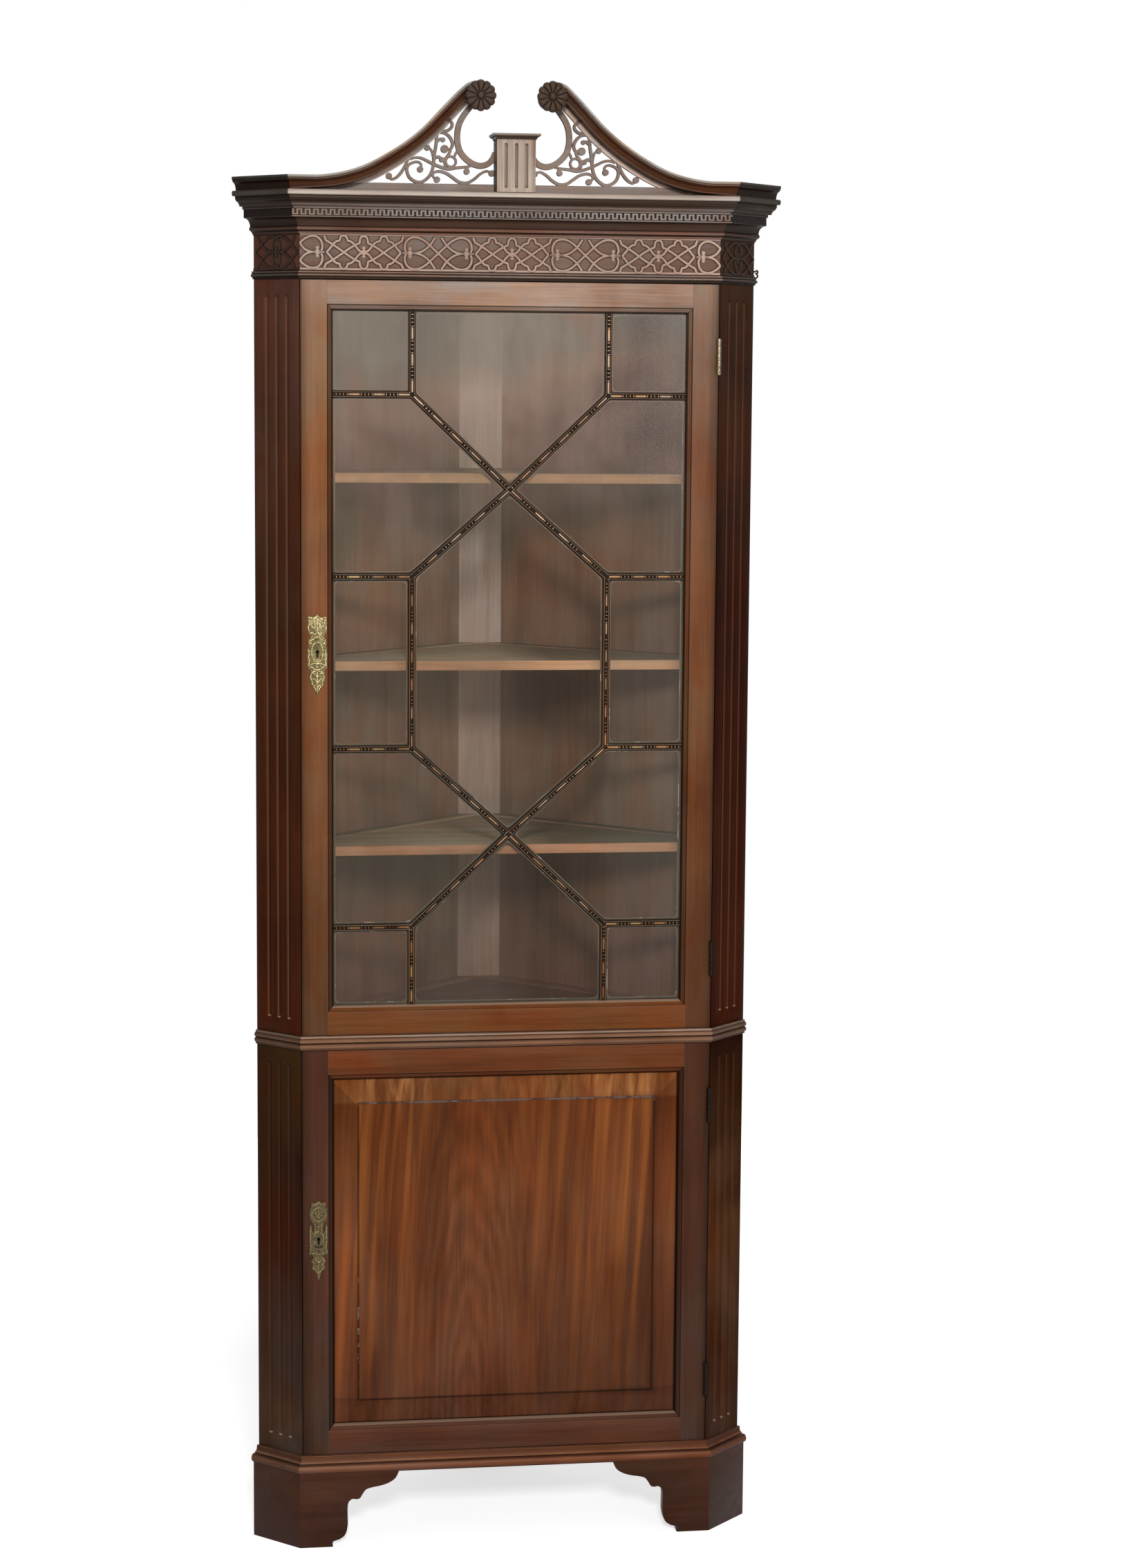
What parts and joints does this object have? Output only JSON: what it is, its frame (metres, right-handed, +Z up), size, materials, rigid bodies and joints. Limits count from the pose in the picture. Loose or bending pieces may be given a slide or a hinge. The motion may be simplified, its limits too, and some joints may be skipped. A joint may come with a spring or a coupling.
{
  "type": "corner cupboard",
  "caption": "Tall two-stage corner cupboard with canted fluted pilasters, swan-neck pediment with pierced scroll fret, glazed upper door, panelled lower door and bracket feet.",
  "frame": {"origin": "middle of the footprint of the whole cupboard, on the floor", "axes": "+Z up, -Y towards the viewer at the front, +X to the right of someone facing the doors; the walls of the room meet behind it on the +Y side"},
  "size_m": [0.8434, 0.4754, 2.2739],
  "materials": {
    "pilaster_wood": "dark polished mahogany",
    "case_wood": "plain oiled mahogany and stained pine",
    "cornice_wood": "dark polished mahogany",
    "frieze_wood": "faded mahogany, dusty in the carving",
    "door_wood": "sun-faded polished mahogany",
    "dark_door_wood": "dark polished mahogany",
    "panel_wood": "figured, polished mahogany",
    "carved_wood": "dark carved mahogany",
    "faded_wood": "faded, dusty mahogany",
    "swan_wood": "polished mahogany",
    "shelf_wood": "pale worn mahogany",
    "glass": "old, slightly wavy clear glass",
    "brass": "aged brass, greenish in the hollows",
    "iron": "dark worn iron"
  },
  "bodies": {
    "cabinet": {"upper_pilaster_left": "pilaster_wood", "upper_pilaster_right": "pilaster_wood", "upper_back_left": "case_wood", "upper_back_right": "case_wood", "upper_corner_board": "case_wood", "upper_floor_board": "case_wood", "upper_top_board": "case_wood", "shelf_bottom": "shelf_wood", "shelf_middle": "shelf_wood", "shelf_top": "shelf_wood", "frieze_rail": "frieze_wood", "necking_moulding": "cornice_wood", "cornice_moulding": "cornice_wood", "cornice_top_board": "faded_wood", "swan_neck_left": "swan_wood", "swan_neck_right": "swan_wood", "scroll_fret_left": "faded_wood", "scroll_fret_right": "faded_wood", "rosette_left": "carved_wood", "rosette_right": "carved_wood", "pediment_plinth": "faded_wood", "plinth_cap": "cornice_wood", "lower_pilaster_left": "pilaster_wood", "lower_pilaster_right": "pilaster_wood", "lower_back_left": "case_wood", "lower_back_right": "case_wood", "lower_corner_board": "case_wood", "lower_top_board": "case_wood", "lower_floor_board": "case_wood", "lower_shelf": "case_wood", "waist_moulding": "door_wood", "base_moulding": "dark_door_wood", "bracket_foot_left": "dark_door_wood", "bracket_foot_right": "dark_door_wood", "rear_foot": "case_wood", "upper_bottom_hinge_case_leaf": "brass", "upper_top_hinge_case_leaf": "brass", "lower_bottom_hinge_case_leaf": "brass", "lower_top_hinge_case_leaf": "brass"},
    "upper_door": {"upper_door_lock_stile": "door_wood", "upper_door_hinge_stile": "door_wood", "upper_door_top_rail": "door_wood", "upper_door_bottom_rail": "door_wood", "upper_escutcheon": "brass", "upper_lock_case": "iron", "upper_bottom_hinge_door_leaf": "brass", "upper_top_hinge_door_leaf": "brass", "door_glass": "glass", "astragal_lattice": "dark_door_wood"},
    "lower_door": {"lower_door_lock_stile": "dark_door_wood", "lower_door_hinge_stile": "dark_door_wood", "lower_door_top_rail": "dark_door_wood", "lower_door_bottom_rail": "dark_door_wood", "lower_escutcheon": "brass", "lower_lock_case": "iron", "lower_bottom_hinge_door_leaf": "brass", "lower_top_hinge_door_leaf": "brass", "lower_door_panel": "panel_wood"},
    "upper_bolt": {"upper_lock_bolt": "iron"},
    "lower_bolt": {"lower_lock_bolt": "iron"}
  },
  "joints": [
    {"name": "upper_door_hinge", "type": "hinge", "parent": "cabinet", "child": "upper_door", "pos_m": [0.3215, -0.18579, 1.3985], "axis": [0, 0, 1], "range_deg": [0, 135]},
    {"name": "lower_door_hinge", "type": "hinge", "parent": "cabinet", "child": "lower_door", "pos_m": [0.3215, -0.18579, 0.471], "axis": [0, 0, 1], "range_deg": [0, 135]},
    {"name": "upper_lock_bolt_slide", "type": "slide", "parent": "upper_door", "child": "upper_bolt", "axis": [-1, 0, 0], "range_m": [0, 0.007]},
    {"name": "lower_lock_bolt_slide", "type": "slide", "parent": "lower_door", "child": "lower_bolt", "axis": [-1, 0, 0], "range_m": [0, 0.007]}
  ]
}
